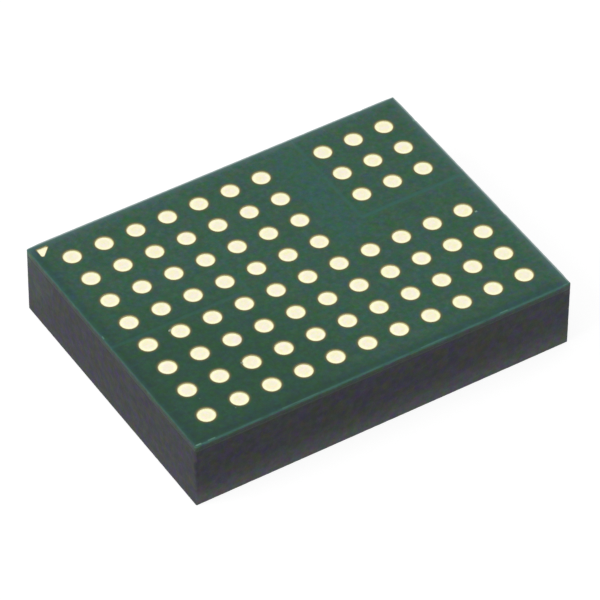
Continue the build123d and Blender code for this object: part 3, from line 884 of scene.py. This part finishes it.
def pin_mark_cutter():
    """A three-cornered prism with slightly rounded corners."""
    outline = []
    for i, corner in enumerate(PIN_MARK):
        here = Vector(corner)
        before, after = ((Vector(PIN_MARK[other % len(PIN_MARK)]) - here).normalized()
                         for other in (i - 1, i + 1))
        half_angle = before.angle(after) / 2
        centre = here + (before + after).normalized() * (PIN_MARK_ROUND / math.sin(half_angle))
        start, end = (here + side * (PIN_MARK_ROUND / math.tan(half_angle)) - centre
                      for side in (before, after))
        outline += [(centre + start.lerp(end, step / 5).normalized() * PIN_MARK_ROUND) * MM
                    for step in range(6)]
    bm = bmesh.new()
    below, above = ([bm.verts.new((*at, height)) for at in outline]
                    for height in (land_face - 0.01 * MM, mask_high.z + 0.01 * MM))
    bm.faces.new(below)
    bm.faces.new(above)
    bridge(bm, below, above)
    bmesh.ops.recalc_face_normals(bm, faces=bm.faces)
    return add_object("pin_mark_cutter", end_mesh(bm, "pin_mark_cutter"))


class MODULE_OT_mask(bpy.types.Operator):
    """Builds the green mask with its openings, copper gap dips, pin-one mark and sawn edge"""
    bl_idname = "module.mask"
    bl_label = "Solder mask"

    def execute(self, context):
        sizes = context.scene.module_mask
        material = finish_mask(sizes)
        piece = bake_tree("solder_mask_sheet", cell_mesh(sizes), land_grid_tree(), pitch=sizes.land_pitch,
                          columns=sizes.columns, rows=sizes.rows, blank_column=sizes.blank_column,
                          blank_row=sizes.blank_row, material=material)
        finish_mask_shape(piece.data, sizes)
        cutter = pin_mark_cutter()
        cut = piece.modifiers.new("pin_mark", "BOOLEAN")
        cut.operation = "DIFFERENCE"
        cut.solver = "EXACT"
        cut.object = cutter
        apply_modifiers(piece)
        bpy.data.objects.remove(cutter)
        piece.data.materials.clear()
        piece.data.materials.append(material)
        smooth(piece.data)
        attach(piece, "root")
        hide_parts("board_side_mask")
        return {"FINISHED"}


# The sawn body.

def stations(low, high, step):
    """Even steps between two ends, with closer ones beside each end."""
    count = max(1, round((high - low - 2 * EDGE_STEP) / step))
    inner = [low + EDGE_STEP + (high - low - 2 * EDGE_STEP) * i / count for i in range(count + 1)]
    return [low, low + 0.4 * EDGE_STEP, *inner, high - 0.4 * EDGE_STEP, high]


def sawn_copy(name, source, step, rows):
    """A copy of a CAD solid whose outer sides are divided into small faces, for relief: in that many
    rows, or for none in even steps, and then the bottom face too."""
    bm = bmesh.new()
    bm.from_mesh(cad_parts[source].data)
    bmesh.ops.remove_doubles(bm, verts=bm.verts, dist=WELD)
    low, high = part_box(source)
    planes = [(axis, end[axis], side) for axis in (0, 1) for end, side in ((low, -1), (high, 1))]
    if not rows:
        planes.append((2, low.z, -1))

    def is_outer(face):
        return any(all(abs(vert.co[axis] - limit) < WELD for vert in face.verts) for axis, limit, _ in planes)

    outer = [face for face in bm.faces if is_outer(face)]
    top = max(vert.co.z for face in outer for vert in face.verts)
    if rows:
        levels = [low.z + (top - low.z) * i / rows for i in range(rows + 1)]
    else:
        levels = stations(low.z, top, step)
    steps = [stations(low.x, high.x, step), stations(low.y, high.y, step), levels]

    def drop_loose():
        for kind, parts in (("EDGES", bm.edges), ("VERTS", bm.verts)):
            bmesh.ops.delete(bm, geom=[part for part in parts if not part.link_faces], context=kind)

    bmesh.ops.delete(bm, geom=outer, context="FACES_ONLY")
    drop_loose()
    known = {}

    def point(place):
        key = key_of(place)
        if key not in known:
            known[key] = bm.verts.new(place)
        return known[key]

    for vert in bm.verts:
        for axis in (0, 1, 2):
            for limit in (low[axis], high[axis]):
                if abs(vert.co[axis] - limit) < WELD:
                    vert.co[axis] = limit
        known[key_of(vert.co)] = vert

    # The faces left beside the gap get the points of the new sides on their open edges.
    open_edges = [edge for edge in bm.edges if edge.is_boundary]
    for face in dict.fromkeys(edge.link_faces[0] for edge in open_edges):
        outline = []
        for loop in face.loops:
            outline.append(loop.vert)
            if loop.edge.is_boundary:
                here, there = loop.vert.co, loop.link_loop_next.vert.co
                axis = 0 if abs(there.x - here.x) > abs(there.y - here.y) else 1
                near, far = sorted((here[axis], there[axis]))
                between = [value for value in steps[axis] if near + SAME < value < far - SAME]
                for value in between if here[axis] < there[axis] else reversed(between):
                    place = here.copy()
                    place[axis] = value
                    outline.append(point(place))
        middle = bm.verts.new(face.calc_center_median())
        for i, vert in enumerate(outline):
            bm.faces.new((middle, vert, outline[(i + 1) % len(outline)]))
        bm.faces.remove(face)
    drop_loose()

    for axis, limit, side in planes:
        across, along = (steps[other] for other in (0, 1, 2) if other != axis)
        for a, b in zip(across, across[1:]):
            for c, d in zip(along, along[1:]):
                corners = [[a, c], [b, c], [b, d], [a, d]]
                for corner in corners:
                    corner.insert(axis, limit)
                made = bm.faces.new([point(corner) for corner in corners])
                made.normal_update()
                if made.normal[axis] * side < 0.0:
                    made.normal_flip()
    return add_object(name, end_mesh(bm, name)), low, high


def wear_vert(vert, low, high, sizes, saw_depth, chips, round_bottom):
    """Moves a point of an outer face in to the rounded edge, with saw marks, pits, wear and chips."""
    place, rounding, corner_round = vert.co.copy(), sizes.edge_round, sizes.corner_round
    on_side = min(abs(abs(place.x) - high.x), abs(abs(place.y) - high.y)) < SAME
    if not (on_side or (round_bottom and abs(place.z - low.z) < SAME)):
        return
    inner = Vector((max(low.x + rounding, min(high.x - rounding, place.x)),
                    max(low.y + rounding, min(high.y - rounding, place.y)),
                    max(low.z + rounding, place.z) if round_bottom else place.z))
    outward = (place - inner).normalized()
    x, y, z = place / MM
    streak = noise_at(x * 0.6, y * 0.6, z * 11.0)
    grains = noise_at(x * 6.0, y * 6.0, z * 6.0)
    deep = noise_at(x * 2.7 + 9.0, y * 2.7, z * 2.7)
    depth = saw_depth * (0.5 + 0.5 * (streak if on_side else 0.3 * grains))
    if on_side:
        depth += sizes.pit_depth * max(0.0, grains + 0.5 * deep - 0.28)
    on_edge = max(map(abs, outward)) < 0.97
    if on_edge:
        depth += EDGE_WEAR * MM * max(0.0, grains + 0.3)
    depth = chipped(depth, (x, y, z), chips)
    vert.co = inner + outward * (rounding - depth)
    corner_middle = [high[axis] - corner_round for axis in (0, 1)]
    past = Vector(max(0.0, abs(vert.co[axis]) - corner_middle[axis]) for axis in (0, 1))
    if min(past) > 0.0 and past.length > corner_round - depth:
        past *= (corner_round - depth) / past.length
        for axis in (0, 1):
            vert.co[axis] = math.copysign(corner_middle[axis] + past[axis], place[axis])


def sawn_piece(name, source, material, sizes, rows=0, saw_share=1.0, chips=()):
    """A CAD solid with worn sides, and a worn bottom face unless its sides are divided in rows."""
    piece, low, high = sawn_copy(name, source, sizes.step, rows)
    for vert in piece.data.vertices:
        wear_vert(vert, low, high, sizes, saw_share * sizes.saw_depth, chips, not rows)
    smooth(piece.data)
    piece.data.materials.append(material)
    return piece


class MODULE_OT_mould_cap(bpy.types.Operator):
    """Builds the moulded body with sawn sides, a matt moulded face and chipped edges"""
    bl_idname = "module.mould_cap"
    bl_label = "Moulded body"

    def execute(self, context):
        sizes = context.scene.module_body
        piece = sawn_piece("moulded_body", "mould_cap", finish_mould(sizes), sizes, chips=MOULD_CHIPS)
        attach(piece, "root")
        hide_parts("mould_cap")
        return {"FINISHED"}


class MODULE_OT_laminate(bpy.types.Operator):
    """Builds the laminate with its sawn edge of resin and glass, and the mask between it and the mould"""
    bl_idname = "module.laminate"
    bl_label = "Laminate"

    def execute(self, context):
        sizes = context.scene.module_body
        inner_mask = finish_plain("component_mask", (0.015, 0.023, 0.021), (0.019, 0.027, 0.020),
                                  metallic=0.0, roughness=0.70, grain_size=0.06, depth=0.003)
        for name, source, rows, material, slot in (
                ("sawn_laminate", "laminate", 4, finish_laminate(sizes), "laminate"),
                ("inner_mask_sheet", "component_side_mask", 1, inner_mask, "mask")):
            piece = sawn_piece(name, source, material, sizes, rows, saw_share=0.7)
            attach(piece, "root")
            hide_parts(source)
        return {"FINISHED"}


# Flakes and nicks.

def flake_tree():
    """Puts a small uneven flake on each point, with the point's own size and turn."""
    tree, (points, thickness, roughness, seed, material) = new_tree(
        "Flakes", "GeometryNodeTree", points="Geometry", thickness="Float", roughness="Float", seed="Int",
        material="Material")
    ball = put(tree, "GeometryNodeMeshIcoSphere", {"Radius": 1.0, "Subdivisions": 2})
    shake = put(tree, "FunctionNodeRandomValue", {0: (-1.0, -1.0, -1.0), 1: (1.0, 1.0, 1.0), "Seed": seed},
                data_type="FLOAT_VECTOR")
    uneven = put(tree, "GeometryNodeSetPosition", {"Geometry": ball, "Offset": shake * roughness})
    span = put(tree, "GeometryNodeInputNamedAttribute", {"Name": "span"}, data_type="FLOAT_VECTOR")
    half_length_of, half_width_of, turn = span.split()
    turned = put(tree, "FunctionNodeEulerToRotation", {0: join(0.0, 0.0, turn)})
    laid = put(tree, "GeometryNodeInstanceOnPoints",
               {"Points": points, "Instance": uneven, "Rotation": turned,
                "Scale": join(half_length_of, half_width_of, thickness)})
    realized = put(tree, "GeometryNodeRealizeInstances", {"Geometry": laid})
    coated = put(tree, "GeometryNodeSetMaterial", {"Geometry": realized, "Material": material})
    return end_tree(tree, "Flakes", "Geometry", coated)


class MODULE_OT_flakes(bpy.types.Operator):
    """Lays the small flakes and nicks on the mask and beside the lands"""
    bl_idname = "module.flakes"
    bl_label = "Flakes and nicks"

    def execute(self, context):
        flake = context.scene.module_lands.flake
        mesh = bpy.data.meshes.new("flake_places")
        mesh.from_pydata([[value * MM for value in place] for *place, _, _, _ in FLAKES], [], [])
        spans = mesh.attributes.new("span", "FLOAT_VECTOR", "POINT")
        for item, (*_, length, width, turn) in zip(spans.data, FLAKES):
            item.vector = (length * MM / 2, width * MM / 2, math.radians(turn))
        material = finish_plain("flakes", flake, [0.8 * channel for channel in flake],
                                metallic=0.0, roughness=0.60, grain_size=0.02, depth=0.002)
        piece = bake_tree("mask_flakes", mesh, flake_tree(), thickness=0.006 * MM, roughness=0.18, seed=7,
                          material=material)
        for vert in piece.data.vertices:
            vert.co.z = min(vert.co.z, mask_high.z)
        smooth(piece.data, 40.0)
        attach(piece, "root")
        return {"FINISHED"}


# The CAD nodes that stay as they are.

def coat(names, material):
    for name in names:
        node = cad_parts[name]
        if not len(node.material_slots):
            node.data.materials.append(material)
        for slot in node.material_slots:
            slot.material = material


class MODULE_OT_lands(bpy.types.Operator):
    """Gives the copper below the openings its gold plating"""
    bl_idname = "module.lands"
    bl_label = "Lands"

    def execute(self, context):
        gold = finish_gold(context.scene.module_lands)
        coat(("output_land_copper", "ground_land_copper", "input_land_copper", "control_land_copper"), gold)
        return {"FINISHED"}


class MODULE_OT_inside(bpy.types.Operator):
    """Gives the parts inside the body their finishes"""
    bl_idname = "module.inside"
    bl_label = "Inner parts"

    def execute(self, context):
        for name, (*finish, names) in INNER_FINISHES.items():
            coat(names, finish_plain(name, *finish))
        coat(("boost_diode_body",), bpy.data.materials["mould_compound"])
        return {"FINISHED"}


# The stage.

def lamp(name, place, size, power):
    light = bpy.data.lights.new(name, "AREA")
    light.shape = "SQUARE"
    light.size = size
    light.energy = power
    turned = Vector(place).to_track_quat("Z", "Y").to_matrix().to_4x4()
    add_object(name, light).matrix_world = Matrix.Translation(place) @ turned


def plain_nodes(data):
    """The emptied node tree of a material or world, and which rays should meet plain white there: 1 for
    those from the camera, mirrored or let through."""
    data.use_nodes = True
    tree = data.node_tree
    tree.nodes.clear()
    rays = tree.nodes.new("ShaderNodeLightPath").outputs
    camera, glossy, through = (Field(rays[f"Is {kind} Ray"]) for kind in ("Camera", "Glossy", "Transmission"))
    return tree, camera.max(glossy).max(through)


class MODULE_OT_stage(bpy.types.Operator):
    """Sets up the pale floor, the soft lamps, the surroundings and the camera"""
    bl_idname = "module.stage"
    bl_label = "Stage"

    def execute(self, context):
        scene = context.scene
        sizes = scene.module_stage
        white = (1.0, 1.0, 1.0)
        scene.view_settings.view_transform = "Standard"

        bm = bmesh.new()
        bmesh.ops.create_grid(bm, x_segments=2, y_segments=2, size=sizes.floor_size / 2)
        floor = add_object("floor", end_mesh(bm, "floor"))
        material = bpy.data.materials.new("pale_floor")
        tree, seen = plain_nodes(material)
        matt = put(tree, "ShaderNodeBsdfDiffuse", {"Color": (0.80, 0.80, 0.80)})
        dimmed = put(tree, "ShaderNodeBsdfDiffuse", {"Color": (0.26, 0.26, 0.26)})
        glow = put(tree, "ShaderNodeEmission", {"Color": white, "Strength": 0.84})
        bright = put(tree, "ShaderNodeAddShader", {0: dimmed, 1: glow})
        both = put(tree, "ShaderNodeMixShader", {0: seen, 1: matt, 2: bright})
        put(tree, "ShaderNodeOutputMaterial", {"Surface": both})
        floor.data.materials.append(material)

        scene.world = bpy.data.worlds.new("surroundings")
        tree, seen = plain_nodes(scene.world)
        soft, full = (put(tree, "ShaderNodeBackground", {"Color": white, "Strength": strength})
                      for strength in (sizes.ambient, 1.0))
        both = put(tree, "ShaderNodeMixShader", {0: seen, 1: soft, 2: full})
        put(tree, "ShaderNodeOutputWorld", {"Surface": both})

        lamp("key_lamp", (-0.30, 0.05, 0.22), 0.26, sizes.key_power)
        lamp("top_lamp", (-0.05, 0.00, 0.38), 0.20, sizes.fill_power)

        camera = add_object("camera", bpy.data.cameras.new("camera"))
        camera.data.lens = sizes.lens
        camera.data.sensor_width = 36.0
        camera.data.clip_start = 0.005
        camera.data.clip_end = 20.0
        turned = Matrix.Identity(3)
        for angles in ((0.0, 0.0, sizes.azimuth), (math.pi / 2 - sizes.elevation, 0.0, 0.0),
                       (0.0, 0.0, sizes.roll)):
            turned = turned @ Euler(angles).to_matrix()
        camera.matrix_world = Matrix.Translation(sizes.camera_place) @ turned.to_4x4()
        scene.camera = camera
        return {"FINISHED"}


STEPS = (MODULE_OT_mask, MODULE_OT_mould_cap, MODULE_OT_laminate, MODULE_OT_lands, MODULE_OT_flakes,
         MODULE_OT_inside, MODULE_OT_stage)


class MODULE_PT_panel(bpy.types.Panel):
    """Lists the module's sizes, colours and building steps"""
    bl_idname = "MODULE_PT_panel"
    bl_label = "Power module"
    bl_space_type = "VIEW_3D"
    bl_region_type = "UI"
    bl_category = "Power module"

    def draw(self, context):
        for name, kind in SETTINGS.items():
            box = self.layout.box()
            box.label(text=name.removeprefix("module_").capitalize())
            for setting in kind.__annotations__:
                box.prop(getattr(context.scene, name), setting)
        for step in STEPS:
            self.layout.operator(step.bl_idname)


SETTINGS = {"module_mask": MaskSizes, "module_body": BodySizes, "module_lands": LandColours,
            "module_stage": StageSizes}
CLASSES = (*SETTINGS.values(), *STEPS, MODULE_PT_panel)


def register():
    for item in CLASSES:
        bpy.utils.register_class(item)
    for name, kind in SETTINGS.items():
        setattr(bpy.types.Scene, name, PointerProperty(type=kind))


def unregister():
    for name in SETTINGS:
        delattr(bpy.types.Scene, name)
    for item in reversed(CLASSES):
        bpy.utils.unregister_class(item)


def main():
    register()
    make_shared_effects()
    bpy.ops.module.mask()
    bpy.ops.module.mould_cap()
    bpy.ops.module.laminate()
    bpy.ops.module.lands()
    bpy.ops.module.flakes()
    bpy.ops.module.inside()
    bpy.ops.module.stage()
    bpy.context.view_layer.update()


if __name__ == "__main__":
    main()
